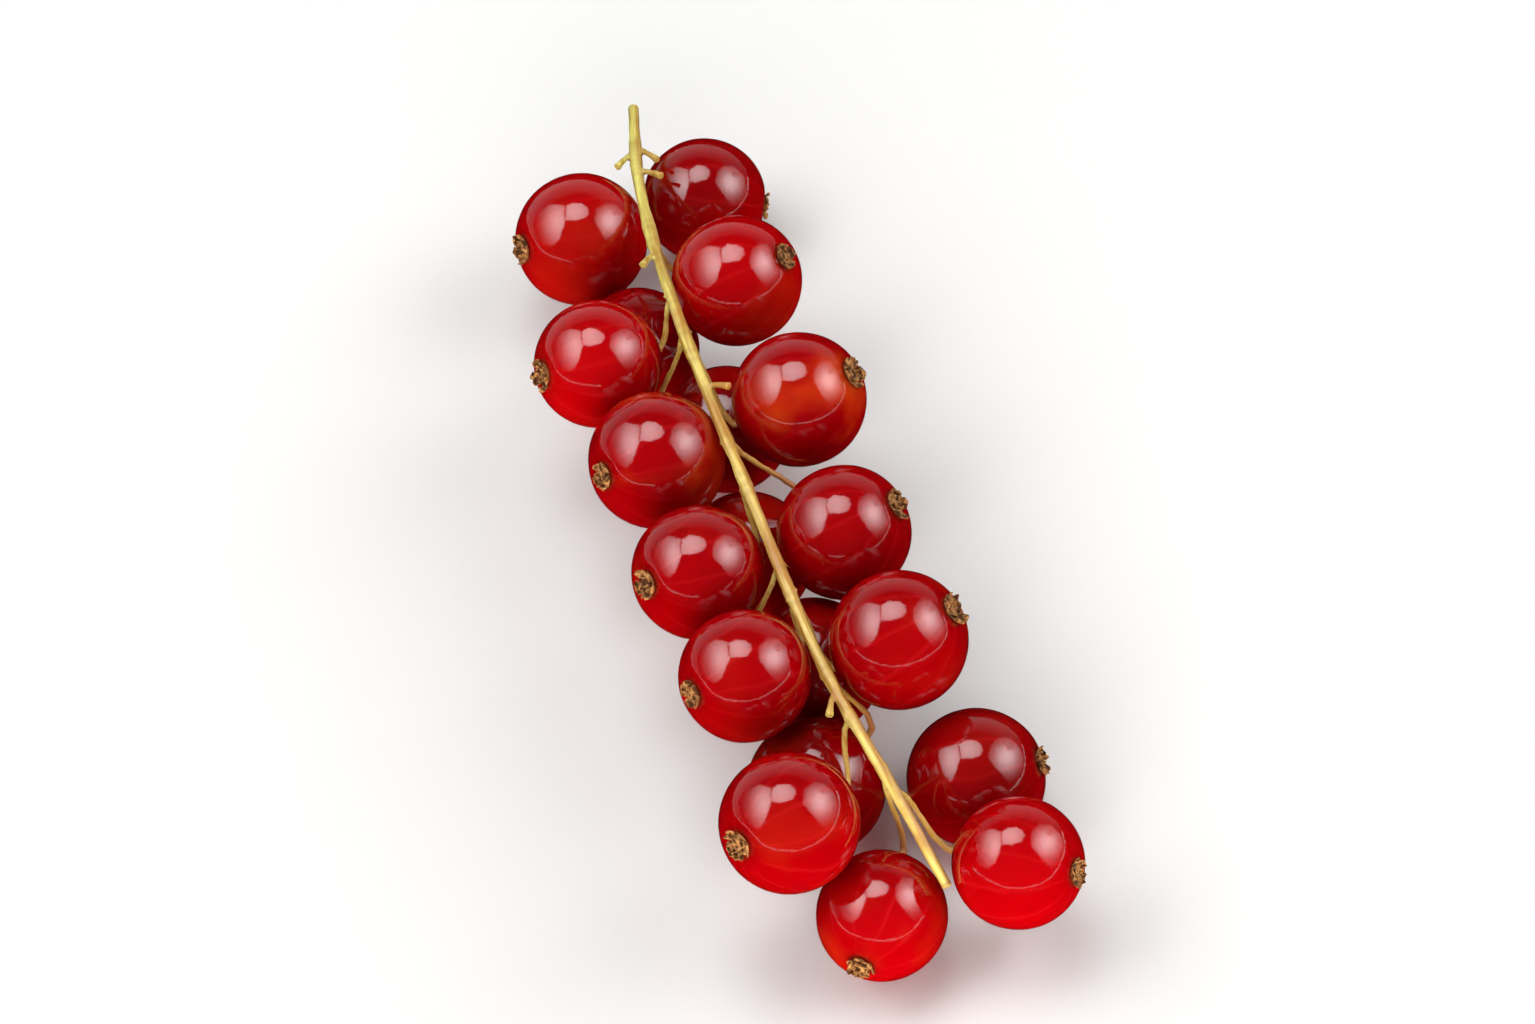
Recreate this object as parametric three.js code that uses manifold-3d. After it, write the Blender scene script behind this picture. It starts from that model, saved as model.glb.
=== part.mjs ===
// A picked sprig of redcurrants lying on a flat surface: one green main stem with its short stalks,
// and on each stalk a berry that ends in the dried remains of its flower.
// Millimetres, +Z up. The main stem runs from its cut end, at +Y, to the tip of the sprig, at -Y.
import * as THREE from "three";
import { mergeVertices } from "three/addons/utils/BufferGeometryUtils.js";
import Module from "manifold-3d";

const wasm = await Module();
wasm.setup();

const UP = new THREE.Vector3(0, 0, 1);
const CLEARANCE = 0.15; // between pieces that touch

// ---- Driving dimensions ----

const BERRY_RADIUS = 4.5;
const BERRY_SPREAD = 0.045; // berries differ from that radius by up to this share
const FLAT_SPOT_DEPTH = 0.2; // how much a soft berry flattens where it lies on the surface
const STEM_RADIUS = 0.42;
const STEM_TAPER = 0.1; // the share of its radius that the stem loses from its cut end to its tip
const STALK_RADIUS = 0.22;
const STALK_END_RADIUS = 0.34; // a stalk swells where it holds its berry
const STALK_REACH = 5.3; // the longest that a stalk stretches to its berry
const BARE_LENGTH = 5.2; // of the stem, from its cut end to the first stalk that holds a berry
const FLOWER = { rootRadius: 0.75, rimRadius: 1.2, height: 0.5, pitDepth: 0.25, sepals: 5, lobe: 0.15 };

// The sockets in a berry that its stalk and its dried flower sit in. A stalk comes in at a slant.
const STALK_SOCKET = { radius: STALK_END_RADIUS + 2 * CLEARANCE, depth: 0.6 };
const FLOWER_SOCKET = { radius: FLOWER.rootRadius + CLEARANCE, depth: 0.4 };

// How finely the pieces are faceted.
const BERRY_SIDES = 16;
const BERRY_RINGS = 10;
const STEM_SIDES = 8;
const STEM_STEPS = 44;
const STALK_SIDES = 6;
const STALK_STEPS = 6;

// The main stem's centre line: a shallow arch that bows a little to one side and droops at its ends.
const mainStem = new THREE.CatmullRomCurve3(
  [
    [0, 0, 6.4],
    [-2.0, -9.5, 9.4],
    [-3.0, -23, 12.2],
    [-2.8, -40, 13.1],
    [-2.1, -54.5, 12.2],
    [-0.5, -63, 10.4],
    [1.0, -70, 7.5],
  ].map((p) => new THREE.Vector3(...p)),
);
const STEM_LENGTH = mainStem.getLength();
const stemPoints = mainStem.getSpacedPoints(STEM_STEPS);

// ---- Where the berries hang ----

// along: distance of a berry from the stem's cut end. out: its distance sideways from the stem.
// The rows on either side of the stem are irregular, so their places are listed one by one.
const LEFT_ROW = [
  { along: 12, out: 4.6 },
  { along: 27, out: 5.0 },
  { along: 33, out: 3.2 },
  { along: 44, out: 3.6 },
  { along: 54.5, out: 3.2 },
  { along: 64, out: 5.2 },
  { along: 68.5, out: 4.8 },
];
const RIGHT_ROW = [
  { along: 19.5, out: 2.8 },
  { along: 32.5, out: 5.2 },
  { along: 45, out: 4.8 },
  { along: 54, out: 3.6 },
  { along: 68, out: 5.8 },
  { along: 69.6, out: 5.8 },
];
const SIDE_ROW_DROP = 2.5; // how far the middles of those berries lie below the stem
const SIDE_ROW_LEAD = 5; // a stalk leaves the stem this far before its berry
const LEFT_ROW_LIFT = 0.5; // how much those berries' dried flowers are turned upwards
const RIGHT_ROW_LIFT = 0.7;

// The berries under the stem lie on the surface, to its left and right by turns.
const LOWER_ROW = { first: 9.5, pitch: 10.1, count: 6, out: 2.2, lead: 4 };

// How far the real thing strays from those places.
const STRAY = { along: 1, drop: 0.5, lift: 0.1 };

// A repeatable draw between -1 and 1.
let seed = 20240711;
function draw() {
  seed = (Math.imul(seed, 1664525) + 1013904223) >>> 0;
  return (seed / 0xffffffff) * 2 - 1;
}

// The stem's point, forward direction and left-hand direction at a distance from its cut end.
function stemAt(along) {
  const u = THREE.MathUtils.clamp(along / STEM_LENGTH, 0, 1);
  const forward = mainStem.getTangentAt(u);
  const left = forward.clone().cross(UP).normalize();
  return { along: u * STEM_LENGTH, point: mainStem.getPointAt(u), forward, left };
}

// A berry that hangs beside or under the stem. turn is 1 to the left of the stem and -1 to its right.
function plannedBerry({ along, out, turn, lead, drop, lift }) {
  const { point, left } = stemAt(along);
  const centre = point.clone().addScaledVector(left, turn * out);
  centre.z -= drop;
  return {
    along,
    centre,
    home: centre.clone(),
    radius: BERRY_RADIUS * (1 + draw() * BERRY_SPREAD),
    root: stemAt(Math.max(along - lead, BARE_LENGTH)),
    outward: left.clone().multiplyScalar(turn),
    lift: lift + draw() * STRAY.lift,
  };
}

function sideBerry(place, turn) {
  const drop = SIDE_ROW_DROP + draw() * STRAY.drop;
  const lift = turn > 0 ? LEFT_ROW_LIFT : RIGHT_ROW_LIFT;
  return plannedBerry({ ...place, turn, lead: SIDE_ROW_LEAD, drop, lift });
}

function lowerBerry(_, index) {
  const { first, pitch, out, lead } = LOWER_ROW;
  const along = first + index * pitch + draw() * STRAY.along;
  const drop = stemAt(along).point.z - BERRY_RADIUS;
  return plannedBerry({ along, out, turn: index % 2 ? 1 : -1, lead, drop, lift: 0 });
}

// A berry points away from the stem, and a little away from where its stalk starts.
// Those at the tip of the sprig turn forwards.
const AXIS_SHARES = { away: 0.35, outward: 0.75, lowest: -0.35, forwardAtTip: 0.9 };
const TIP_BERRIES = { from: 66, to: 70 }; // along the stem
function axisOf(berry) {
  const axis = berry.centre.clone().sub(berry.root.point).setLength(AXIS_SHARES.away);
  axis.addScaledVector(berry.outward, AXIS_SHARES.outward);
  const nearTip = THREE.MathUtils.smoothstep(berry.along, TIP_BERRIES.from, TIP_BERRIES.to);
  axis.addScaledVector(berry.root.forward, AXIS_SHARES.forwardAtTip * nearTip);
  axis.z = Math.max(axis.z + berry.lift, AXIS_SHARES.lowest);
  return axis.normalize();
}

// A stalk's centre line, from inside the stem to inside its berry's socket.
const STALK_LEAVING = { forward: 0.5, across: 0.85, reach: 0.42 };
function stalkRoute(berry) {
  const axis = axisOf(berry);
  const start = berry.root.point;
  const end = berry.centre.clone().addScaledVector(axis, STALK_SOCKET.depth - CLEARANCE - berry.radius);
  const toEnd = end.clone().sub(start);
  const { forward } = berry.root;
  const across = toEnd.clone().addScaledVector(forward, -toEnd.dot(forward)).normalize();
  const leave = forward.clone().multiplyScalar(STALK_LEAVING.forward);
  leave.addScaledVector(across, STALK_LEAVING.across);
  const reach = toEnd.length() * STALK_LEAVING.reach;
  const handle = start.clone().addScaledVector(leave, reach);
  const endHandle = end.clone().addScaledVector(axis, -reach);
  if (berry.bend) {
    handle.add(berry.bend);
    endHandle.add(berry.bend);
  }
  return new THREE.CubicBezierCurve3(start.clone(), handle, endHandle, end);
}

// ---- Letting the berries find their places ----

const SETTLING = { rounds: 600, gravity: 0.03, homePull: 0.05, calmBy: 0.8 };
const FLOWER_BALL = { radius: 1.35, offset: 0.2 }; // stands for the dried flower at a berry's end
const STALK_SAMPLES = [0.3, 0.45, 0.6, 0.75];

// Moves a centre out of a ball that it overlaps, and returns the whole overlap as a vector.
function pushOut(centre, radius, ball, ballRadius, share) {
  const apart = centre.clone().sub(ball);
  const overlap = radius + ballRadius + CLEARANCE - apart.length();
  if (overlap <= 0) return null;
  apart.setLength(overlap);
  centre.addScaledVector(apart, share);
  return apart;
}

// Berries sink, spread and draw back to their places, until each lies clear of the others.
function settle(berries) {
  for (let round = 0; round < SETTLING.rounds; round++) {
    const force = Math.max(0, 1 - round / (SETTLING.rounds * SETTLING.calmBy));
    for (const berry of berries) {
      berry.centre.lerp(berry.home, SETTLING.homePull * force);
      berry.centre.z -= SETTLING.gravity * force;
    }
    for (const berry of berries) keepClear(berry, berries);
  }
}

function keepClear(berry, berries) {
  const route = stalkRoute(berry);
  const samples = STALK_SAMPLES.map((t) => route.getPoint(t));
  const flower = berry.centre.clone().addScaledVector(axisOf(berry), berry.radius + FLOWER_BALL.offset);
  for (const other of berries) {
    if (other === berry) continue;
    const shift = pushOut(other.centre, other.radius, berry.centre, berry.radius, 0.5);
    if (shift) berry.centre.addScaledVector(shift, -0.5);
    const flowerShift = pushOut(other.centre, other.radius, flower, FLOWER_BALL.radius, 0.5);
    if (flowerShift) berry.centre.addScaledVector(flowerShift, -0.5);
    for (const sample of samples) pushOut(other.centre, other.radius, sample, STALK_RADIUS, 0.5);
  }
  for (const point of stemPoints) pushOut(berry.centre, berry.radius, point, STEM_RADIUS, 1);
  const tether = berry.centre.clone().sub(berry.root.point).clampLength(0, berry.radius + STALK_REACH);
  berry.centre.copy(berry.root.point).add(tether);
  berry.centre.z = Math.max(berry.centre.z, berry.radius - FLAT_SPOT_DEPTH);
}

// Bends each stalk round the berries that it would cut through.
const BENDING = { rounds: 60, from: 0.15, to: 0.9, step: 0.05, ownBerryFrom: 0.7, share: 0.25 };
function bendStalksClear(berries) {
  for (const berry of berries) {
    berry.bend = new THREE.Vector3();
    for (let round = 0; round < BENDING.rounds; round++) {
      const route = stalkRoute(berry);
      for (let t = BENDING.from; t < BENDING.to; t += BENDING.step) {
        const point = route.getPoint(t);
        for (const other of berries) {
          if (other === berry && t > BENDING.ownBerryFrom) continue;
          const shift = pushOut(point, STALK_RADIUS, other.centre, other.radius, 1);
          if (shift) berry.bend.addScaledVector(shift, BENDING.share);
        }
      }
    }
  }
}

// ---- Solids ----

function solidOf(geometry) {
  geometry.deleteAttribute("normal");
  geometry.deleteAttribute("uv");
  const merged = mergeVertices(geometry, 1e-4);
  const vertProperties = merged.attributes.position.array;
  return new wasm.Manifold(new wasm.Mesh({ numProp: 3, vertProperties, triVerts: merged.index.array }));
}

function geometryOf(solid) {
  const { vertProperties, triVerts } = solid.getMesh();
  const geometry = new THREE.BufferGeometry();
  geometry.setAttribute("position", new THREE.BufferAttribute(vertProperties, 3));
  geometry.setIndex(new THREE.BufferAttribute(triVerts, 1));
  geometry.computeVertexNormals();
  return geometry;
}

// A solid round bar along a curve, with a radius at each step from 0 to 1.
function taperedBar(curve, radiusAt, sides, steps) {
  const profile = [new THREE.Vector2(0, 0)];
  for (let i = 0; i <= steps; i++) profile.push(new THREE.Vector2(radiusAt(i / steps), i));
  profile.push(new THREE.Vector2(0, steps));
  const bar = new THREE.LatheGeometry(profile, sides);
  const { tangents, normals } = curve.computeFrenetFrames(steps);
  const places = bar.attributes.position;
  for (let i = 0; i < places.count; i++) {
    const ring = Math.round(places.getY(i));
    const across = normals[ring].clone().cross(tangents[ring]);
    const place = curve.getPointAt(ring / steps);
    place.addScaledVector(normals[ring], places.getX(i)).addScaledVector(across, places.getZ(i));
    places.setXYZ(i, place.x, place.y, place.z);
  }
  return solidOf(bar);
}

// Turns +Y to a direction and moves the origin to a place.
function standing(place, direction) {
  const turn = new THREE.Quaternion().setFromUnitVectors(new THREE.Vector3(0, 1, 0), direction);
  return new THREE.Matrix4().compose(place, turn, new THREE.Vector3(1, 1, 1));
}

// A berry about its own axis, +Y towards the dried flower, with a socket at each pole.
function berryGeometry(radius) {
  const low = Math.asin(STALK_SOCKET.radius / radius);
  const high = Math.PI - Math.asin(FLOWER_SOCKET.radius / radius);
  const profile = [[0, STALK_SOCKET.depth - radius], [STALK_SOCKET.radius, STALK_SOCKET.depth - radius]];
  for (let i = 0; i <= BERRY_RINGS; i++) {
    const angle = THREE.MathUtils.lerp(low, high, i / BERRY_RINGS);
    profile.push([radius * Math.sin(angle), -radius * Math.cos(angle)]);
  }
  profile.push([FLOWER_SOCKET.radius, radius - FLOWER_SOCKET.depth], [0, radius - FLOWER_SOCKET.depth]);
  return new THREE.LatheGeometry(profile.map((p) => new THREE.Vector2(...p)), BERRY_SIDES);
}

// A berry in place, cut flat where it lies on the surface.
function berryInPlace({ centre, radius, axis }) {
  const round = berryGeometry(radius).applyMatrix4(standing(centre, axis));
  if (centre.z >= radius) return round;
  const below = new THREE.BoxGeometry(4 * radius, 4 * radius, 2 * radius);
  below.translate(centre.x, centre.y, -radius);
  return geometryOf(solidOf(round).subtract(solidOf(below)));
}

// The dried flower: a short cup whose rim rises and falls in withered lobes, one for each sepal.
function driedFlower({ centre, radius, axis }) {
  const surface = Math.sqrt(radius ** 2 - FLOWER.rootRadius ** 2);
  const root = radius - FLOWER_SOCKET.depth + CLEARANCE;
  const top = surface + FLOWER.height;
  const profile = [
    [0, root],
    [FLOWER.rootRadius, root],
    [FLOWER.rootRadius, surface],
    [0.86 * FLOWER.rimRadius, surface + 0.45 * FLOWER.height],
    [FLOWER.rimRadius, top],
    [0.55 * FLOWER.rimRadius, top - 0.45 * FLOWER.pitDepth],
    [0, top - FLOWER.pitDepth],
  ];
  const flower = new THREE.LatheGeometry(profile.map((p) => new THREE.Vector2(...p)), 2 * FLOWER.sepals);
  const places = flower.attributes.position;
  for (let i = 0; i < places.count; i++) {
    const [x, y, z] = [places.getX(i), places.getY(i), places.getZ(i)];
    const rise = THREE.MathUtils.clamp((y - surface) / FLOWER.height, 0, 1);
    const out = Math.hypot(x, z) / FLOWER.rimRadius;
    const lobe = FLOWER.lobe * rise * out * Math.cos(FLOWER.sepals * Math.atan2(z, x));
    places.setXYZ(i, x * (1 + lobe), y + 2 * lobe, z * (1 + lobe));
  }
  return flower.applyMatrix4(standing(centre, axis));
}

// A small pointed scale that stays on the stem at the foot of a stalk.
const SCALE = { length: 1.2, radius: 0.3, sides: 5, before: 0.45, forward: 0.75, out: 0.65 };
function footScale({ root, axis }) {
  const foot = root.point.clone().addScaledVector(root.forward, -SCALE.before);
  const lean = root.forward.clone().multiplyScalar(SCALE.forward).addScaledVector(axis, SCALE.out);
  const cone = new THREE.ConeGeometry(SCALE.radius, SCALE.length, SCALE.sides);
  cone.translate(0, SCALE.length / 2, 0).applyMatrix4(standing(foot, lean.normalize()));
  return solidOf(cone);
}

// Stalks that have lost their berry: where along the stem, to which side, and how far they reach.
const BARE_STALKS = [
  { along: 5.2, side: -0.8, rise: 0.2, length: 2.4 },
  { along: 5.6, side: 0.7, rise: 0.2, length: 2.3 },
  { along: 8, side: -1.5, rise: 0.3, length: 2 },
  { along: 17.5, side: 0.9, rise: 0.5, length: 2 },
  { along: 31, side: -1.4, rise: 0.8, length: 1.9 },
  { along: 57, side: 0.8, rise: 0.4, length: 2 },
];
const BARE_STALK_CURL = { forward: 0.9, middle: 0.6, end: 0.2 };
function bareStalk({ along, side, rise, length }) {
  const { point, forward, left } = stemAt(along);
  const lean = forward.clone().multiplyScalar(BARE_STALK_CURL.forward);
  lean.addScaledVector(left, side).addScaledVector(UP, rise).normalize();
  const middle = point.clone().addScaledVector(lean, length * BARE_STALK_CURL.middle);
  const end = point.clone().addScaledVector(lean, length);
  end.addScaledVector(forward, length * BARE_STALK_CURL.end);
  return stalkBar(new THREE.QuadraticBezierCurve3(point, middle, end));
}

function stalkBar(route) {
  const radiusAt = (u) => THREE.MathUtils.lerp(STALK_RADIUS, STALK_END_RADIUS, u ** 4);
  return taperedBar(route, radiusAt, STALK_SIDES, STALK_STEPS);
}

// The stem tapers a little and swells into a knot at each stalk.
const KNOT = { swell: 0.25, halfLength: 0.9 };
function mainStemBar(knots) {
  const radiusAt = (u) => {
    const nearest = Math.min(...knots.map((knot) => Math.abs(u * STEM_LENGTH - knot)));
    const swell = KNOT.swell * Math.exp(-((nearest / KNOT.halfLength) ** 2));
    return STEM_RADIUS * (1 - STEM_TAPER * u) * (1 + swell);
  };
  return taperedBar(mainStem, radiusAt, STEM_SIDES, STEM_STEPS);
}

// The main stem and all its stalks, grown as one piece.
function stemGeometry(berries) {
  let stem = mainStemBar(berries.map((berry) => berry.root.along));
  for (const berry of berries) stem = stem.add(stalkBar(stalkRoute(berry))).add(footScale(berry));
  for (const bare of BARE_STALKS) stem = stem.add(bareStalk(bare));
  return geometryOf(stem);
}

// ---- The sprig ----

const skin = new THREE.MeshStandardMaterial({ color: 0xb00d1a, roughness: 0.12, metalness: 0 });
const green = new THREE.MeshStandardMaterial({ color: 0xb9b456, roughness: 0.55, metalness: 0 });
const dried = new THREE.MeshStandardMaterial({ color: 0x6f4e28, roughness: 0.9, metalness: 0 });

function namedMesh(name, geometry, material) {
  const mesh = new THREE.Mesh(geometry, material);
  mesh.name = name;
  return mesh;
}

const berries = [
  ...LEFT_ROW.map((place) => sideBerry(place, 1)),
  ...RIGHT_ROW.map((place) => sideBerry(place, -1)),
  ...Array.from({ length: LOWER_ROW.count }, lowerBerry),
];
berries.sort((a, b) => a.along - b.along);
settle(berries);
bendStalksClear(berries);
for (const berry of berries) berry.axis = axisOf(berry);

const sprig = new THREE.Group();
sprig.add(namedMesh("stem", stemGeometry(berries), green));
berries.forEach((berry, i) => {
  const number = String(i + 1).padStart(2, "0");
  sprig.add(namedMesh(`berry_${number}`, berryInPlace(berry), skin));
  sprig.add(namedMesh(`dried_flower_${number}`, driedFlower(berry), dried));
});

// The origin lies on the surface, under the middle of the sprig's box.
const box = new THREE.Box3().setFromObject(sprig);
sprig.position.set(-(box.min.x + box.max.x) / 2, -(box.min.y + box.max.y) / 2, 0);

export default sprig;
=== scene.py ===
"""A picked sprig of redcurrants on a pale surface: glossy berries, dried flower ends and a green stem."""

import math
import random

import bmesh
import bpy
import numpy as np
from mathutils import Matrix, Vector, noise


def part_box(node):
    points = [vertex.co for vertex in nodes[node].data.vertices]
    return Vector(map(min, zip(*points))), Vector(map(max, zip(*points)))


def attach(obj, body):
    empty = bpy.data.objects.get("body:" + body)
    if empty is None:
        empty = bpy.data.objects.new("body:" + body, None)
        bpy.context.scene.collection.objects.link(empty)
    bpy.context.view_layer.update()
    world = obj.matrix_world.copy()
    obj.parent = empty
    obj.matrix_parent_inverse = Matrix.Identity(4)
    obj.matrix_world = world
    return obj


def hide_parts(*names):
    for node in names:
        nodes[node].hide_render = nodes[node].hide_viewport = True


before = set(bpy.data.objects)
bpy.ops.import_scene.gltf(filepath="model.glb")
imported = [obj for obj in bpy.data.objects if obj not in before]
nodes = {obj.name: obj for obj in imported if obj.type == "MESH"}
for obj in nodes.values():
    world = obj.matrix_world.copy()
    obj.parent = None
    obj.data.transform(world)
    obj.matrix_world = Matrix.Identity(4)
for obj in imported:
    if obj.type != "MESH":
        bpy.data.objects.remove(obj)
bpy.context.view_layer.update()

MM = 0.001
UP = Vector((0, 0, 1))


# ---- The camera ----

VIEW_AZIMUTH = math.radians(-10.8)
VIEW_ELEVATION = math.radians(55.4)
VIEW_ROLL = math.radians(-7.6)
VIEW_DISTANCE = 388 * MM
LENS_MM = 133
LOOK_AT = Vector((0.4, 0.2, 6)) * MM

to_camera = Vector((
    math.sin(VIEW_AZIMUTH) * math.cos(VIEW_ELEVATION),
    -math.cos(VIEW_AZIMUTH) * math.cos(VIEW_ELEVATION),
    math.sin(VIEW_ELEVATION),
))
level_right = Vector((math.cos(VIEW_AZIMUTH), math.sin(VIEW_AZIMUTH), 0))
level_up = to_camera.cross(level_right)
camera_right = level_right * math.cos(VIEW_ROLL) + level_up * math.sin(VIEW_ROLL)
camera_up = to_camera.cross(camera_right)


def link(obj):
    bpy.context.scene.collection.objects.link(obj)
    return obj


def add_camera():
    data = bpy.data.cameras.new("camera")
    data.lens = LENS_MM
    data.clip_start = 10 * MM
    camera = link(bpy.data.objects.new("camera", data))
    camera.location = LOOK_AT + to_camera * VIEW_DISTANCE
    turn = Matrix((camera_right, camera_up, to_camera)).transposed()
    camera.rotation_euler = turn.to_euler()
    bpy.context.scene.camera = camera


# ---- Small helpers for node trees ----

# The Mix node's sockets for colours, by their places, because sockets for other kinds share their names.
MIX_FACTOR = 0
MIX_FIRST = 6
MIX_SECOND = 7
MIX_COLOUR = 2


def new_material(name):
    material = bpy.data.materials.new(name)
    material.use_nodes = True
    tree = material.node_tree
    return material, tree, tree.nodes["Principled BSDF"]


def plug(tree, socket, value):
    """Links an output to a socket, or sets a plain value on it. None leaves the socket alone."""
    if isinstance(value, bpy.types.NodeSocket):
        tree.links.new(value, socket)
    elif value is not None:
        socket.default_value = value


def add_node(tree, kind, inputs=None, **settings):
    node = tree.nodes.new(kind)
    for key, value in settings.items():
        setattr(node, key, value)
    for key, value in (inputs or {}).items():
        plug(tree, node.inputs[key], value)
    return node


def attribute(tree, name, output="Fac"):
    return add_node(tree, "ShaderNodeAttribute", attribute_name=name).outputs[output]


def ramp(tree, factor, stops):
    """A colour ramp. A stop is a place from 0 to 1 with a colour, or with one number for a grey."""
    node = add_node(tree, "ShaderNodeValToRGB", {"Fac": factor})
    elements = node.color_ramp.elements
    while len(elements) < len(stops):
        elements.new(0.5)
    for element, (position, colour) in zip(elements, stops):
        element.position = position
        element.color = (*colour, 1) if isinstance(colour, tuple) else (colour,) * 3 + (1,)
    return node.outputs["Color"]


def mix(tree, factor, first, second):
    node = add_node(tree, "ShaderNodeMix", data_type="RGBA")
    plug(tree, node.inputs[MIX_FACTOR], factor)
    for socket, colour in ((MIX_FIRST, first), (MIX_SECOND, second)):
        plug(tree, node.inputs[socket], (*colour, 1) if isinstance(colour, tuple) else colour)
    return node.outputs[MIX_COLOUR]


def calc(tree, operation, first, second=None):
    node = add_node(tree, "ShaderNodeMath", operation=operation)
    for socket, value in zip(node.inputs, (first, second)):
        plug(tree, socket, value)
    return node.outputs["Value"]


def fractal(tree, place, scale, detail=3.0, roughness=0.5, shift=None):
    """Soft noise. A shift gives each piece that has its own shift another pattern."""
    dimensions = "3D" if shift is None else "4D"
    inputs = {"Vector": place, "Scale": scale, "Detail": detail, "Roughness": roughness}
    if shift is not None:
        inputs["W"] = shift
    return add_node(tree, "ShaderNodeTexNoise", inputs, noise_dimensions=dimensions).outputs["Fac"]


# ---- Light and floor ----

LAMP_DISTANCE = 500 * MM
# The share of the way from its hot spot to its outline over which a lamp's light ends.
LAMP_EDGE = 0.07
# A sheet of light has this many steps along it for each point of its outline, and this many across.
SHEET_STEPS_ALONG = 6
SHEET_STEPS_ACROSS = 16
# Where each soft lamp shows on a berry, as shares of the berry's radius right and up from its middle.
# reach, in the same shares, is how far across and up from its hot spot the glow falls to about a third.
LAMPS = {
    "upper_lamp": {
        "outline": [
            (-0.245, 0.49), (-0.14, 0.55), (0.00, 0.54), (0.09, 0.48), (0.11, 0.39), (0.05, 0.31),
            (-0.08, 0.27), (-0.245, 0.27),
        ],
        "hot_spot": (-0.11, 0.41), "glow": 6.2, "reach": (0.26, 0.24),
    },
    "left_lamp": {
        "outline": [
            (-0.252, 0.50), (-0.252, 0.38), (-0.24, 0.26), (-0.28, 0.12), (-0.34, -0.03), (-0.44, -0.12),
            (-0.57, -0.08), (-0.69, 0.08), (-0.72, 0.26), (-0.63, 0.44), (-0.44, 0.54),
        ],
        "hot_spot": (-0.34, 0.26), "glow": 6.5, "reach": (0.17, 0.27),
    },
    "right_lamp": {
        "outline": [
            (0.20, 0.46), (0.34, 0.58), (0.50, 0.55), (0.64, 0.40), (0.70, 0.20), (0.62, 0.00),
            (0.48, -0.12), (0.34, 0.04), (0.18, 0.26),
        ],
        "hot_spot": (0.42, 0.28), "glow": 7.8, "reach": (0.165, 0.185),
    },
}
# The edge of the room as a berry mirrors it: an oval, again in shares of the berry's radius.
ROOM_EDGE = {
    "middle": (-0.05, 0.26), "half_width": 0.76, "half_height": 0.62,
    "line": 0.022, "glow": 2.2, "step": 12,
}
# The pale far wall lies along the top and left of that oval, between two directions in degrees.
# inner is the share of the oval that it starts at.
FAR_WALL = {"from": 15, "to": 215, "inner": 0.68, "glow": 0.58, "step": 10}


def lamp_skin(name, strength):
    material = bpy.data.materials.new(name)
    material.use_nodes = True
    tree = material.node_tree
    tree.nodes.clear()
    glow = attribute(tree, "glow")
    emission = add_node(tree, "ShaderNodeEmission", {"Strength": calc(tree, "MULTIPLY", glow, strength)})
    output = add_node(tree, "ShaderNodeOutputMaterial")
    tree.links.new(emission.outputs["Emission"], output.inputs["Surface"])
    return material


def mirrored(right, up):
    """The direction that the camera sees mirrored at this place on a berry."""
    normal = camera_right * right + camera_up * up + to_camera * math.sqrt(1 - right ** 2 - up ** 2)
    return normal * (2 * normal.dot(to_camera)) - to_camera


def along_line(points, share):
    """A place along a line of points, with share from 0 at its start to 1 at its end."""
    step = share * (len(points) - 1)
    first = min(math.floor(step), len(points) - 2)
    return Vector(points[first]).lerp(Vector(points[first + 1]), step - first)


def add_glowing_sheet(name, inner, outer, glow, fade):
    """A curved sheet of light that a berry mirrors as the band between two lines of places on its face."""
    bm = bmesh.new()
    bmesh.ops.create_grid(
        bm, x_segments=SHEET_STEPS_ALONG * len(outer), y_segments=SHEET_STEPS_ACROSS, size=1)
    light = bm.verts.layers.float.new("glow")
    for vert in bm.verts:
        along, across = (vert.co.x + 1) / 2, (vert.co.y + 1) / 2
        place = along_line(inner, along).lerp(along_line(outer, along), across)
        vert[light] = fade(along, across, place)
        vert.co = LOOK_AT + mirrored(*place) * LAMP_DISTANCE
    mesh = bpy.data.meshes.new(name)
    bm.to_mesh(mesh)
    bm.free()
    mesh.materials.append(lamp_skin(name + "_glow", glow))
    sheet = link(bpy.data.objects.new(name, mesh))
    sheet.visible_camera = False


def add_lamp(name, outline, hot_spot, glow, reach):
    """A soft lamp, brightest at its hot spot."""
    def fade(along, across, place):
        away = [(a - b) / size for a, b, size in zip(place, hot_spot, reach)]
        return math.exp(-away[0] ** 2 - away[1] ** 2) * min(1, (1 - across) / LAMP_EDGE)

    outer = [*outline, outline[0]]
    add_glowing_sheet(name, [hot_spot] * len(outer), outer, glow, fade)


def on_room_edge(degrees, share):
    """A place on the room's oval, or inside it where share is under 1."""
    turn = math.radians(degrees)
    right, up = ROOM_EDGE["middle"]
    return (
        right + ROOM_EDGE["half_width"] * share * math.cos(turn),
        up + ROOM_EDGE["half_height"] * share * math.sin(turn),
    )


def add_room_edge():
    """A thin bright line all round, and the pale far wall inside it."""
    turns = range(0, 361, ROOM_EDGE["step"])
    inner = [on_room_edge(turn, 1 - ROOM_EDGE["line"]) for turn in turns]
    outer = [on_room_edge(turn, 1) for turn in turns]
    add_glowing_sheet("room_edge", inner, outer, ROOM_EDGE["glow"], lambda along, across, place: 1)

    turns = range(FAR_WALL["from"], FAR_WALL["to"] + 1, FAR_WALL["step"])
    inner = [on_room_edge(turn, FAR_WALL["inner"]) for turn in turns]
    outer = [on_room_edge(turn, 1) for turn in turns]
    add_glowing_sheet("far_wall", inner, outer, FAR_WALL["glow"], far_wall_fade)


def far_wall_fade(along, across, place):
    """Faint at the two ends of the wall and along its inner side."""
    return math.sin(math.pi * along) ** 0.5 * min(1, 0.25 + across)


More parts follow.
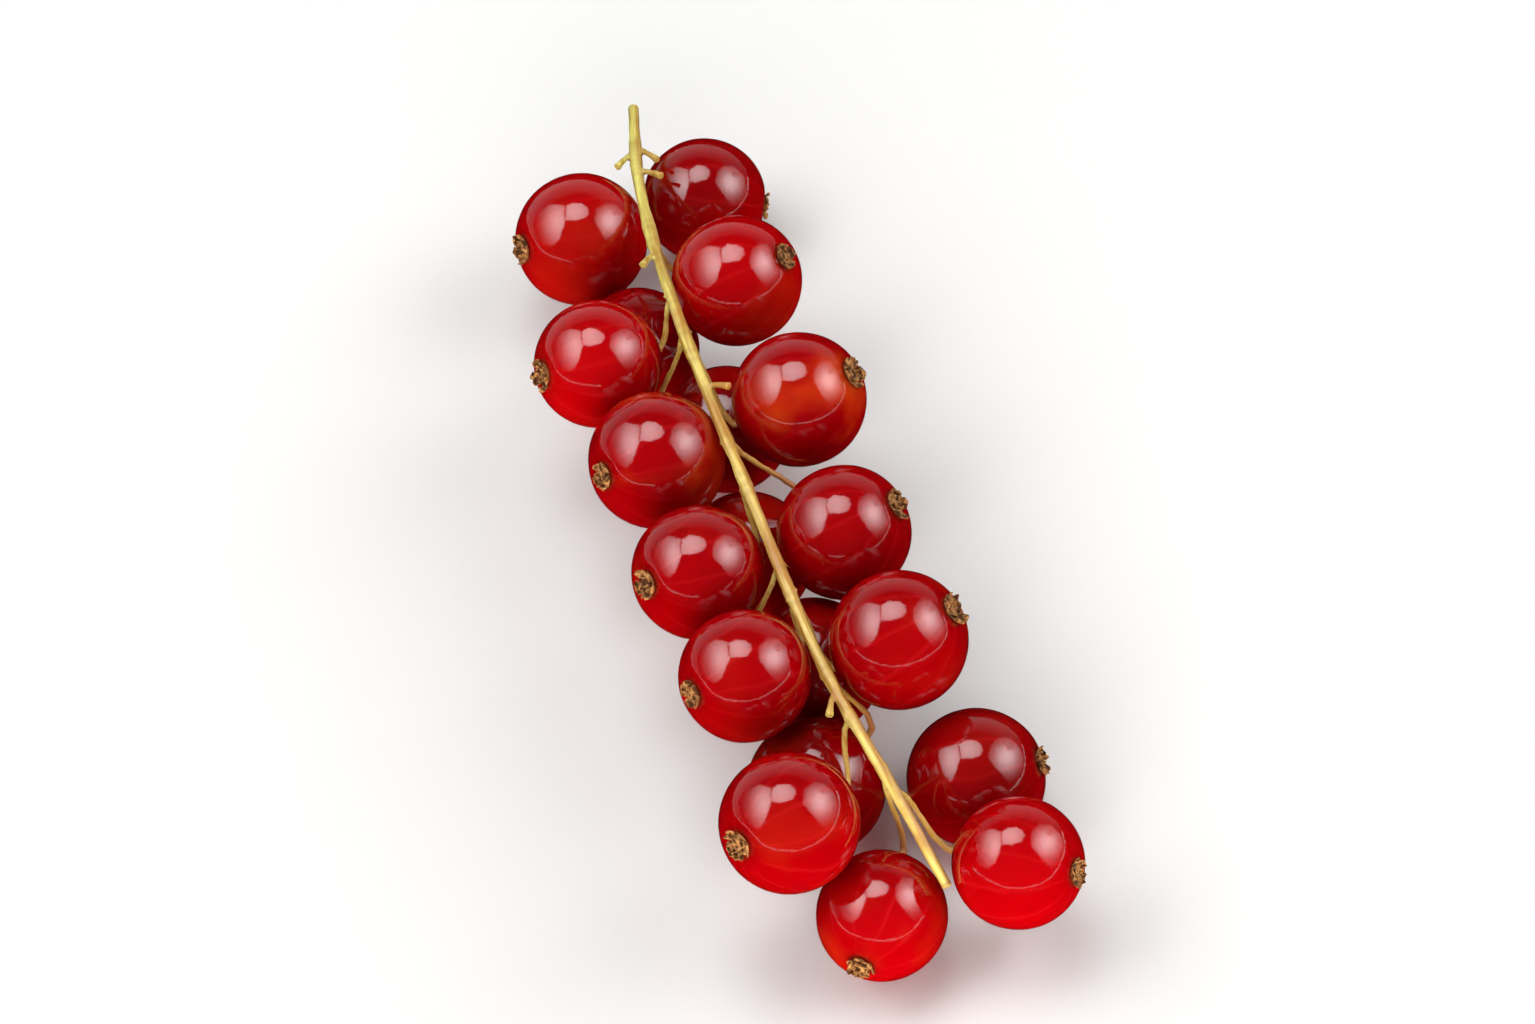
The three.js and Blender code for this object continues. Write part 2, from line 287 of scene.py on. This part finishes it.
ROOM_DIM = (0.035, 0.035, 0.035)
UNDER_FLOOR = (0.02, 0.004, 0.004)


def add_room():
    """A dim room, reddish below the floor, where berries mirror one another."""
    world = bpy.data.worlds.new("dim_room")
    world.use_nodes = True
    tree = world.node_tree
    place = add_node(tree, "ShaderNodeTexCoord").outputs["Generated"]
    height = add_node(tree, "ShaderNodeSeparateXYZ", {"Vector": place}).outputs["Z"]
    above = ramp(tree, calc(tree, "ADD", height, 0.5), [(0.48, 0.0), (0.50, 1.0)])
    plug(tree, tree.nodes["Background"].inputs["Color"], mix(tree, above, UNDER_FLOOR, ROOM_DIM))
    tree.nodes["Background"].inputs["Strength"].default_value = 1
    bpy.context.scene.world = world


# Broad weak lamps: one low in front, and one below, whose light comes up through the floor into the
# undersides of the berries, as it does through the fruit that they lie on in a heap.
FILL_DISTANCE = 450 * MM
FILL_WIDTH = 500 * MM
FILLS = {
    "front_fill": {"right": 0.1, "up": -1.1, "watts": 3.5},
    "under_fill": {"right": 0.1, "up": -3.5, "watts": 6.0},
}


def add_fill(name, right, up, watts):
    """A lamp in the direction right, up and 1 towards the camera, which shows in no reflection."""
    data = bpy.data.lights.new(name, "AREA")
    data.size = FILL_WIDTH
    data.energy = watts
    lamp = link(bpy.data.objects.new(name, data))
    away = camera_right * right + camera_up * up + to_camera
    lamp.location = LOOK_AT + away.normalized() * FILL_DISTANCE
    lamp.rotation_euler = away.to_track_quat("Z", "Y").to_euler()
    lamp.visible_glossy = False
    lamp.visible_camera = False


# Half the floor's width, in metres.
FLOOR_REACH = 3
FLOOR_COLOUR = (0.58, 0.577, 0.57, 1)


def add_floor():
    """A pale floor that shows in no reflection and lets the light of the lamp below through."""
    mesh = bpy.data.meshes.new("floor")
    bm = bmesh.new()
    bmesh.ops.create_grid(bm, x_segments=1, y_segments=1, size=FLOOR_REACH)
    bm.to_mesh(mesh)
    bm.free()
    material, _, shader = new_material("pale_floor")
    shader.inputs["Base Color"].default_value = FLOOR_COLOUR
    shader.inputs["Roughness"].default_value = 0.7
    shader.inputs["Specular IOR Level"].default_value = 0.2
    mesh.materials.append(material)
    floor = link(bpy.data.objects.new("floor", mesh))
    floor.visible_glossy = False
    floor.visible_shadow = False


add_camera()
for lamp_name, lamp in LAMPS.items():
    add_lamp(lamp_name, **lamp)
add_room_edge()
for fill_name, fill in FILLS.items():
    add_fill(fill_name, **fill)
add_room()
add_floor()
bpy.context.scene.view_settings.view_transform = "Standard"


# ---- Berries ----

BERRY_SEGMENTS = 64
BERRY_RINGS = 44
# A dent's depth is a share of the radius, and its width is an angle.
FLOWER_DENT = {"depth": 0.050, "width": 0.24}
STALK_DENT = {"depth": 0.045, "width": 0.17}
# How uneven a berry is, as a share of its radius, and how close together its bumps are.
UNEVEN = {"height": 0.007, "scale": 1.5}
VEINS = 11
LIGHT_RED = (0.31, 0.0, 0.0016)
RIPE_RED = (0.25, 0.0, 0.0014)
DARK_RED = (0.18, 0.0, 0.0012)
PATCH_ORANGE = (0.48, 0.05, 0.003)
VEIN_RED = (0.55, 0.02, 0.02)
SCAR_BROWN = (0.10, 0.012, 0.004)
# How strong the orange patch is on the berries that have no clear one.
BLUSHES = (0.02, 0.04, 0.06, 0.09, 0.14)
# Each berry's pattern is a number from 0 to this.
PATTERNS = 50
# How ripe a berry is, from 0, light red, to 1, dark red, between the two values for its kind.
# The same value holds painted shade and light: the dark kind holds berries that lie in shade, such as
# the lower row under the others, painted darker red for it, and the light kind holds the berries that
# show brightest, painted lighter red for the light that passes through them.
RIPENESS_AND_SHADE = {"light": (0.15, 0.35), "plain": (0.45, 0.75), "dark": (0.80, 1.00)}
LIT_LIGHT_BERRIES = ("02", "03", "05", "18", "19")
SHADED_DARK_BERRIES = ("01", "04", "06", "09", "12", "15", "17")
# Berries with a clear orange patch, and the pattern that puts it in its place on them.
PATCHED_BERRIES = {"07": {"pattern": 43, "blush": 0.5}, "08": {"pattern": 29, "blush": 0.3}}


def berry_skin():
    """Glossy, translucent red skin with faint veins from pole to pole.

    berry_place is a place on a ball of radius 1 whose +Z is at the dried flower.
    """
    material, tree, shader = new_material("redcurrant_skin")
    place = attribute(tree, "berry_place", "Vector")
    ripeness_and_shade = attribute(tree, "ripeness_and_shade")
    shift = attribute(tree, "pattern")
    split = add_node(tree, "ShaderNodeSeparateXYZ", {"Vector": place})
    x, y, z = (split.outputs[axis] for axis in "XYZ")

    # Painted shade and light: the red follows the berry's value, which holds its ripeness together with
    # painted shade for berries lying in shade and painted light for bright ones.
    red = ramp(tree, ripeness_and_shade, [(0.0, LIGHT_RED), (0.5, RIPE_RED), (1.0, DARK_RED)])
    cloud = fractal(tree, place, 0.9, 2.0, shift=shift)
    patch = ramp(tree, cloud, [(0.50, 0.0), (0.66, 1.0)])
    patch = calc(tree, "MULTIPLY", patch, attribute(tree, "blush"))
    colour = mix(tree, patch, red, PATCH_ORANGE)

    angle = calc(tree, "ARCTAN2", y, x)
    wander = calc(tree, "MULTIPLY", fractal(tree, place, 2.2, 2.0, shift=shift), 2.2)
    wave = calc(tree, "SINE", calc(tree, "ADD", calc(tree, "MULTIPLY", angle, VEINS), wander))
    vein = ramp(tree, wave, [(0.86, 0.0), (1.0, 0.10)])
    colour = mix(tree, vein, colour, VEIN_RED)

    scar = ramp(tree, z, [(0.965, 0.0), (0.985, 0.8)])
    colour = mix(tree, scar, colour, SCAR_BROWN)
    plug(tree, shader.inputs["Base Color"], colour)

    ripple = fractal(tree, place, 5.0, 3.0, shift=shift)
    bump = add_node(tree, "ShaderNodeBump", {"Height": ripple, "Strength": 0.12, "Distance": 0.15 * MM})
    plug(tree, shader.inputs["Normal"], bump.outputs["Normal"])
    shader.inputs["Roughness"].default_value = 0.07
    shader.inputs["IOR"].default_value = 1.56
    shader.inputs["Subsurface Weight"].default_value = 1.0
    shader.inputs["Subsurface Radius"].default_value = (1.0, 0.10, 0.06)
    shader.inputs["Subsurface Scale"].default_value = 6.5 * MM
    return material


# A ball is fitted again and again, each time without the points that miss it most, which lie in the
# sockets and on the flat spot. Points that miss it by less than LEAST_MISS are always kept.
FIT_ROUNDS = 6
LEAST_MISS = 0.001 * MM


def ball_of(node):
    """The centre and radius of the ball that most of a berry node's points lie on."""
    points = np.array([v.co for v in node.data.vertices], float)
    kept = points
    for _ in range(FIT_ROUNDS):
        system = np.hstack([2 * kept, np.ones((len(kept), 1))])
        solution = np.linalg.lstsq(system, (kept ** 2).sum(1), rcond=None)[0]
        centre = solution[:3]
        radius = math.sqrt(solution[3] + centre @ centre)
        miss = np.abs(np.linalg.norm(points - centre, axis=1) - radius)
        kept = points[miss <= max(np.median(miss) * 2, LEAST_MISS)]
    return Vector(centre), radius


def standing(centre, axis):
    """Turns +Z to the axis and moves the origin to the centre."""
    return Matrix.Translation(centre) @ UP.rotation_difference(axis).to_matrix().to_4x4()


def dent(angle, shape):
    """How deep a dent is at this angle from its middle."""
    return shape["depth"] * math.exp(-((angle / shape["width"]) ** 2))


def berry_looks(number, rng):
    """How ripe a berry is, with painted shade and light in that value, which pattern it has and how strong
    its orange patch is.
    """
    kind = "light" if number in LIT_LIGHT_BERRIES else "dark" if number in SHADED_DARK_BERRIES else "plain"
    looks = {
        "ripeness_and_shade": rng.uniform(*RIPENESS_AND_SHADE[kind]),
        "pattern": rng.uniform(0, PATTERNS),
        "blush": rng.choice(BLUSHES),
    }
    return {**looks, **PATCHED_BERRIES.get(number, {})}


def make_berry(name, centre, radius, axis, looks, material):
    """A slightly uneven ball with a dent at each end, flat where it would reach below the floor."""
    bm = bmesh.new()
    bmesh.ops.create_uvsphere(bm, u_segments=BERRY_SEGMENTS, v_segments=BERRY_RINGS, radius=1)
    place = bm.verts.layers.float_vector.new("berry_place")
    fields = {key: bm.verts.layers.float.new(key) for key in looks}
    for vert in bm.verts:
        unit = vert.co.normalized()
        vert[place] = unit
        for key, field in fields.items():
            vert[field] = looks[key]
        from_flower = math.acos(max(-1, min(1, unit.z)))
        at_flower = dent(from_flower, FLOWER_DENT)
        at_stalk = dent(math.pi - from_flower, STALK_DENT)
        uneven = UNEVEN["height"] * noise.noise(unit * UNEVEN["scale"] + Vector((looks["pattern"], 0, 0)))
        vert.co = unit * (1 - at_flower - at_stalk + uneven)
    bmesh.ops.transform(bm, matrix=standing(centre, axis) @ Matrix.Scale(radius, 4), verts=bm.verts)
    for vert in bm.verts:
        vert.co.z = max(vert.co.z, 0)
    for face in bm.faces:
        face.smooth = True
    mesh = bpy.data.meshes.new(name)
    bm.to_mesh(mesh)
    bm.free()
    mesh.materials.append(material)
    return link(bpy.data.objects.new(name, mesh))


# ---- Dried flowers ----

SEPALS = 5
# Millimetres; a leaf leaves the tube at "foot", bows out to "brim" and folds back towards the middle.
SEPAL = {"foot": 0.45, "brim": 1.05, "width": 1.0, "height": 0.42, "thickness": 0.045}
PETAL = {"foot": 0.22, "brim": 0.55, "width": 0.42, "height": 0.34, "thickness": 0.045}
BUTTON = {"radius": 0.75, "height": 0.14}
# How the leaves differ: how far they reach out, how far round they fold, how they lean, and how far
# each is turned from its place, as a share of the turn from one leaf to the next.
REACHES = (0.80, 1.10)
FOLDS = (0.62, 0.85)
LEANS = (-0.22, 0.22)
LEAF_TURN = 0.14
# Millimetres that a leaf crumples out of its shape and to the side, and that its two sides bend
# inwards. It also crumples in height, by a share of it.
CRUMPLE = 0.14
CRUMPLE_ASIDE = 0.05
CRUMPLE_UP = 0.7
CUPPING = 0.10
# How close together a leaf's crumples are, across it and up it.
CRUMPLE_SCALE = (1.6, 2.6)
# The most that a leaf's crumples and a flower's pattern are shifted, so that no two look the same.
LEAF_SHIFT = 60
FLOWER_SHIFT = 40
LEAF_MESH = {"u_segments": 20, "v_segments": 12}
BUTTON_MESH = {"u_segments": 32, "v_segments": 12}
# The lowest that a flower comes to the floor.
FLOWER_CLEARANCE = 0.02 * MM

# The hollows' browns are partly the withered tissue's own colour and partly painted shade in the hollows
# between the ridges.
HOLLOW_DARK_SHADED = (0.030, 0.008, 0.002)
HOLLOW_BROWN_SHADED = (0.10, 0.030, 0.006)
STRAW_BROWN = (0.28, 0.095, 0.024)
STRAW_PALE = (0.64, 0.32, 0.10)


def dried_skin():
    """Withered tissue: pale ridges round dark hollows, whose dark is partly the tissue's own brown and
    partly painted shade, and pale margins where margin is near 1.
    """
    material, tree, shader = new_material("dried_flower")
    place = attribute(tree, "flower_place", "Vector")
    margin = attribute(tree, "margin")
    mottle = fractal(tree, place, 3.2, 4.0, 0.65)
    warp = add_node(tree, "ShaderNodeTexNoise", {"Vector": place, "Scale": 1.8}).outputs["Color"]
    bent = add_node(tree, "ShaderNodeVectorMath", {0: place, 1: warp}, operation="ADD").outputs["Vector"]
    net = add_node(tree, "ShaderNodeTexVoronoi", {"Vector": bent, "Scale": 1.2}, feature="DISTANCE_TO_EDGE")
    ridge = ramp(tree, net.outputs["Distance"], [(0.02, 1.0), (0.19, 0.0)])
    # Painted shade, in part: the hollows between the raised ridges are dark.
    shaded_hollow = ramp(tree, mottle, [(0.30, HOLLOW_DARK_SHADED), (0.75, HOLLOW_BROWN_SHADED)])
    pale = ramp(tree, mottle, [(0.30, STRAW_BROWN), (0.75, STRAW_PALE)])
    edge = ramp(tree, margin, [(0.60, 0.0), (0.95, 1.0)])
    paleness = calc(tree, "MAXIMUM", calc(tree, "MULTIPLY", ridge, 0.85), edge)
    paleness = calc(tree, "MULTIPLY", paleness, ramp(tree, mottle, [(0.3, 0.7), (0.6, 1.0)]))
    plug(tree, shader.inputs["Base Color"], mix(tree, paleness, shaded_hollow, pale))
    wrinkle = calc(tree, "ADD", fractal(tree, place, 7.0, 4.0, 0.6), ridge)
    bump = add_node(tree, "ShaderNodeBump", {"Height": wrinkle, "Strength": 0.7, "Distance": 0.08 * MM})
    plug(tree, shader.inputs["Normal"], bump.outputs["Normal"])
    shader.inputs["Roughness"].default_value = 0.75
    shader.inputs["Specular IOR Level"].default_value = 0.25
    shader.inputs["Subsurface Weight"].default_value = 0.1
    shader.inputs["Subsurface Radius"].default_value = (1.0, 0.5, 0.25)
    shader.inputs["Subsurface Scale"].default_value = 0.2 * MM
    return material


def add_leaf(bm, margin, shape, turn, rng):
    """A shrivelled leaf of the flower: a flattened ball bent out of the tube and back over it."""
    reach = rng.uniform(*REACHES)
    fold = rng.uniform(*FOLDS)
    lean = rng.uniform(*LEANS)
    shift = Vector((rng.uniform(0, LEAF_SHIFT), rng.uniform(0, LEAF_SHIFT), 0))
    leaf = bmesh.ops.create_uvsphere(bm, radius=1, **LEAF_MESH)["verts"]
    for vert in leaf:
        across, rise, depth = vert.co.x, (vert.co.z + 1) / 2, vert.co.y
        bow = math.sin(math.pi * fold * rise)
        crumple = noise.noise(Vector((across * CRUMPLE_SCALE[0], rise * CRUMPLE_SCALE[1], 0)) + shift)
        out = shape["foot"] + (shape["brim"] - shape["foot"]) * reach * bow + depth * shape["thickness"]
        out += CRUMPLE * crumple - CUPPING * across ** 2
        side = across * shape["width"] * 0.5 + lean * rise + CRUMPLE_ASIDE * crumple
        height = shape["height"] * rise ** 1.2 * (1 + CRUMPLE_UP * crumple) + depth * shape["thickness"]
        vert.co = Vector((out, side, height))
        vert[margin] = max(abs(across) ** 3, rise ** 5)
    bmesh.ops.rotate(bm, cent=(0, 0, 0), matrix=Matrix.Rotation(turn, 3, "Z"), verts=leaf)


def make_dried_flower(name, root, axis, size, rng, material):
    """Five sepals, five smaller petals inside and between them, and a button under them."""
    bm = bmesh.new()
    margin = bm.verts.layers.float.new("margin")
    place = bm.verts.layers.float_vector.new("flower_place")
    first = rng.uniform(0, math.tau)
    for shape, start in ((SEPAL, 0), (PETAL, 0.5)):
        for i in range(SEPALS):
            step = start + i + rng.uniform(-LEAF_TURN, LEAF_TURN)
            add_leaf(bm, margin, shape, first + math.tau * step / SEPALS, rng)
    button = bmesh.ops.create_uvsphere(bm, radius=BUTTON["radius"], **BUTTON_MESH)["verts"]
    for vert in button:
        vert.co.z *= BUTTON["height"] / BUTTON["radius"]
    shift = Vector((rng.uniform(-FLOWER_SHIFT, FLOWER_SHIFT), 0, 0))
    for vert in bm.verts:
        vert[place] = vert.co + shift
    for face in bm.faces:
        face.smooth = True
    bmesh.ops.transform(bm, matrix=standing(root, axis) @ Matrix.Scale(MM * size, 4), verts=bm.verts)
    for vert in bm.verts:
        vert.co.z = max(vert.co.z, FLOWER_CLEARANCE)
    bmesh.ops.recalc_face_normals(bm, faces=bm.faces)
    mesh = bpy.data.meshes.new(name)
    bm.to_mesh(mesh)
    bm.free()
    mesh.materials.append(material)
    return link(bpy.data.objects.new(name, mesh))


# ---- The stem ----

STEM_VOXEL = 0.08 * MM
# The main stem's centre line in millimetres from its cut end, as the solids have it.
STEM_ROUTE = [
    (0, 0, 6.4),
    (-2.0, -9.5, 9.4),
    (-3.0, -23, 12.2),
    (-2.8, -40, 13.1),
    (-2.1, -54.5, 12.2),
    (-0.5, -63, 10.4),
    (1.0, -70, 7.5),
]
LINE_STEPS = 20
# Millimetres: the stem's radius, how far a knot reaches along it, and how thick a slice at the cut
# end is taken to find where the centre line starts.
STEM_RADIUS = 0.42
KNOT_LENGTH = 0.45
CUT_FACE = 0.25
# Distances from the centre line in stem radii: the ring where a stalk is told from the stem, the
# place where the stalks' colour begins and how far from there it changes, and how far a knot shows.
STALK_RING = (1.5, 2.2)
STALK_START = 1.2
STALK_TO_END = 10.0
KNOT_REACH = 1.6
SMOOTHINGS = 5
# Patterns that are fine across the stem and long along it, and lumps. Heights are millimetres.
STREAKS = {"across": 2.4, "along": 0.16}
GROOVES = {"across": 2.6, "along": 0.25, "height": 0.04}
LUMPS = {"scale": 0.9, "height": 0.03}

# The dark streak tones are the stem's own darker streaks, tinted orange by painted red light thrown from
# the berries.
FRESH_DARK_RED_BOUNCE = (0.30, 0.21, 0.02)
FRESH_PALE = (0.60, 0.58, 0.14)
GOLDEN_DARK_RED_BOUNCE = (0.34, 0.16, 0.018)
GOLDEN_PALE = (0.62, 0.49, 0.13)
# Painted shade: this brown along the stem's +X side stands in for the shade there, with an orange cast of
# painted red light from the berries.
PAINTED_SHADE_BROWN = (0.30, 0.09, 0.012)
RUST = (0.34, 0.14, 0.03)
STALK_GOLD = (0.50, 0.27, 0.055)
STALK_END_BROWN = (0.42, 0.12, 0.05)
KNOT_BROWN = (0.27, 0.13, 0.02)
CUT_TAN = (0.30, 0.19, 0.06)


def stem_line():
    """Points along the main stem's centre line, in millimetres, and how far each is from the cut end."""
    knots = [Vector(p) for p in STEM_ROUTE]
    knots = [knots[0] * 2 - knots[1], *knots, knots[-1] * 2 - knots[-2]]
    line = []
    for a, b, c, d in zip(knots, knots[1:], knots[2:], knots[3:]):
        for i in range(LINE_STEPS):
            t = i / LINE_STEPS
            line.append(0.5 * ((2 * b) + (c - a) * t + (2 * a - 5 * b + 4 * c - d) * t ** 2
                               + (3 * b - a - 3 * c + d) * t ** 3))
    line = np.array([*line, knots[-2]])
    steps = np.linalg.norm(np.diff(line, axis=0), axis=1)
    return line, np.concatenate([[0], np.cumsum(steps)])


def stem_skin():
    """Waxy stem: yellow-green at the cut end, golden further on, brown at the knots, and painted shade,
    brown, along one side.
    """
    material, tree, shader = new_material("redcurrant_stem")
    along = attribute(tree, "along")
    away = attribute(tree, "away")
    place = add_node(tree, "ShaderNodeTexCoord").outputs["Object"]
    streak = fractal(tree, attribute(tree, "streak_place", "Vector"), 1.0, 3.0, 0.6)
    cloud = fractal(tree, place, 320.0, 3.0, 0.55)
    light = ramp(tree, streak, [(0.36, 0.0), (0.62, 1.0)])
    fresh = mix(tree, light, FRESH_DARK_RED_BOUNCE, FRESH_PALE)
    golden = mix(tree, light, GOLDEN_DARK_RED_BOUNCE, GOLDEN_PALE)
    colour = mix(tree, ramp(tree, along, [(0.05, 0.0), (0.55, 1.0)]), fresh, golden)
    # Painted shade: side rises across the stem towards +X, where the shade is painted.
    side = ramp(tree, attribute(tree, "side"), [(0.50, 0.0), (0.90, 1.0)])
    spots = ramp(tree, cloud, [(0.52, 0.0), (0.72, 0.6)])
    # Each coat covers what is there by its own share, the first one first.
    coats = [
        # The first coat is painted shade along one side of the stem.
        (calc(tree, "MULTIPLY", side, cloud), PAINTED_SHADE_BROWN),
        (calc(tree, "MULTIPLY", spots, ramp(tree, along, [(0.0, 0.2), (0.4, 1.0)])), RUST),
        (ramp(tree, away, [(0.08, 0.0), (0.45, 0.75)]), STALK_GOLD),
        (ramp(tree, away, [(0.65, 0.0), (1.0, 0.6)]), STALK_END_BROWN),
        (ramp(tree, attribute(tree, "knot"), [(0.5, 0.0), (1.0, 0.30)]), KNOT_BROWN),
        (ramp(tree, along, [(0.0, 0.8), (0.004, 0.0), (0.997, 0.0), (1.0, 0.8)]), CUT_TAN),
    ]
    for share, coat in coats:
        colour = mix(tree, share, colour, coat)
    plug(tree, shader.inputs["Base Color"], colour)
    ridge = add_node(tree, "ShaderNodeBump", {"Height": streak, "Strength": 0.6, "Distance": 0.12 * MM})
    plug(tree, shader.inputs["Normal"], ridge.outputs["Normal"])
    shader.inputs["Roughness"].default_value = 0.4
    shader.inputs["Subsurface Weight"].default_value = 0.2
    shader.inputs["Subsurface Radius"].default_value = (1.0, 0.7, 0.2)
    shader.inputs["Subsurface Scale"].default_value = 0.3 * MM
    return material


def remeshed(source, name, voxel):
    """An even closed skin round a copy of a CAD node."""
    mesh = source.data.copy()
    bm = bmesh.new()
    bm.from_mesh(mesh)
    bmesh.ops.remove_doubles(bm, verts=bm.verts, dist=1e-7)
    bm.to_mesh(mesh)
    bm.free()
    mesh.materials.clear()
    draft = link(bpy.data.objects.new(name + "_draft", mesh))
    skin = draft.modifiers.new("skin", "REMESH")
    skin.mode = "VOXEL"
    skin.voxel_size = voxel
    skin.use_smooth_shade = True
    finished = bpy.data.meshes.new_from_object(draft.evaluated_get(bpy.context.evaluated_depsgraph_get()))
    bpy.data.objects.remove(draft)
    finished.name = name
    return finished


def stem_guide():
    """The centre line of the main stem moved to where the sprig lies."""
    cut_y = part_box("stem")[1].y / MM
    cut_face = [v.co.x for v in nodes["stem"].data.vertices if v.co.y / MM > cut_y - CUT_FACE]
    line, reach = stem_line()
    return line + np.array([sum(cut_face) / len(cut_face) / MM, cut_y, 0]), reach


def stretched(offset, run, pattern):
    """The place in a pattern of a point at this offset from the centre line and run along it."""
    return Vector((offset[0] * pattern["across"], run * pattern["along"], offset[2] * pattern["across"]))


def make_stem(name, material):
    """A fine grooved skin round the stem, with the fields that its colours follow.

    along runs from 0 at the cut end to 1 at the tip, away from 0 on the stem to 1 at the stalks' ends,
    side across the stem, which lays the painted shade on its +X side, and knot is 1 where a stalk leaves
    it.
    """
    mesh = remeshed(nodes["stem"], name, STEM_VOXEL)
    bm = bmesh.new()
    bm.from_mesh(mesh)
    axes = {"use_axis_x": True, "use_axis_y": True, "use_axis_z": True}
    for _ in range(SMOOTHINGS):
        bmesh.ops.smooth_vert(bm, verts=bm.verts, factor=0.5, **axes)
    fields = {key: bm.verts.layers.float.new(key) for key in ("along", "away", "side", "knot")}
    streak_place = bm.verts.layers.float_vector.new("streak_place")

    line, reach = stem_guide()
    points = np.array([v.co for v in bm.verts]) / MM
    nearest = ((points[:, None, :] - line[None, :, :]) ** 2).sum(2).argmin(1)
    headings = np.gradient(line, axis=0)
    headings /= np.linalg.norm(headings, axis=1)[:, None]
    offsets = points - line[nearest]
    ahead = (offsets * headings[nearest]).sum(1)
    runs = reach[nearest] + ahead
    offsets -= ahead[:, None] * headings[nearest]
    beside = np.linalg.norm(offsets, axis=1) / STEM_RADIUS
    joints = np.unique(reach[nearest[(beside > STALK_RING[0]) & (beside < STALK_RING[1])]])
    from_joint = np.abs(runs[:, None] - joints[None, :]).min(1)
    for vert, run, gap, offset, joint in zip(bm.verts, runs, beside, offsets, from_joint):
        vert[fields["along"]] = run / reach[-1]
        vert[fields["away"]] = min(1, max(0, gap - STALK_START) / STALK_TO_END)
        # side runs across the stem, for the painted shade on its +X side.
        vert[fields["side"]] = 0.5 + offset[0] * 0.5 / STEM_RADIUS
        vert[fields["knot"]] = math.exp(-((joint / KNOT_LENGTH) ** 2)) * (gap < KNOT_REACH)
        vert[streak_place] = stretched(offset, run, STREAKS)
        groove = noise.noise(stretched(offset, run, GROOVES))
        lump = noise.noise(vert.co / MM * LUMPS["scale"])
        vert.co += vert.normal * MM * (GROOVES["height"] * groove + LUMPS["height"] * lump)
    for face in bm.faces:
        face.smooth = True
    bm.to_mesh(mesh)
    bm.free()
    mesh.materials.clear()
    mesh.materials.append(material)
    return link(bpy.data.objects.new(name, mesh))


# ---- The sprig ----

def dress(piece, node):
    """Lets a finished piece stand for a node of the frame."""
    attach(piece, "root")
    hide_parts(node)


FLOWER_SINK = 0.20 * MM
FLOWER_SIZES = (0.9, 1.1)
SEED = 7

rng = random.Random(SEED)
skin = berry_skin()
dried = dried_skin()
dress(make_stem("green_stem", stem_skin()), "stem")
for node in sorted(n for n in nodes if n.startswith("berry_")):
    number = node.removeprefix("berry_")
    centre, radius = ball_of(nodes[node])
    low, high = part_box("dried_flower_" + number)
    axis = ((low + high) / 2 - centre).normalized()
    looks = berry_looks(number, rng)
    dress(make_berry("ripe_berry_" + number, centre, radius, axis, looks, skin), node)
    root = centre + axis * (radius - FLOWER_SINK)
    size = rng.uniform(*FLOWER_SIZES)
    flower = make_dried_flower("withered_flower_" + number, root, axis, size, rng, dried)
    dress(flower, "dried_flower_" + number)
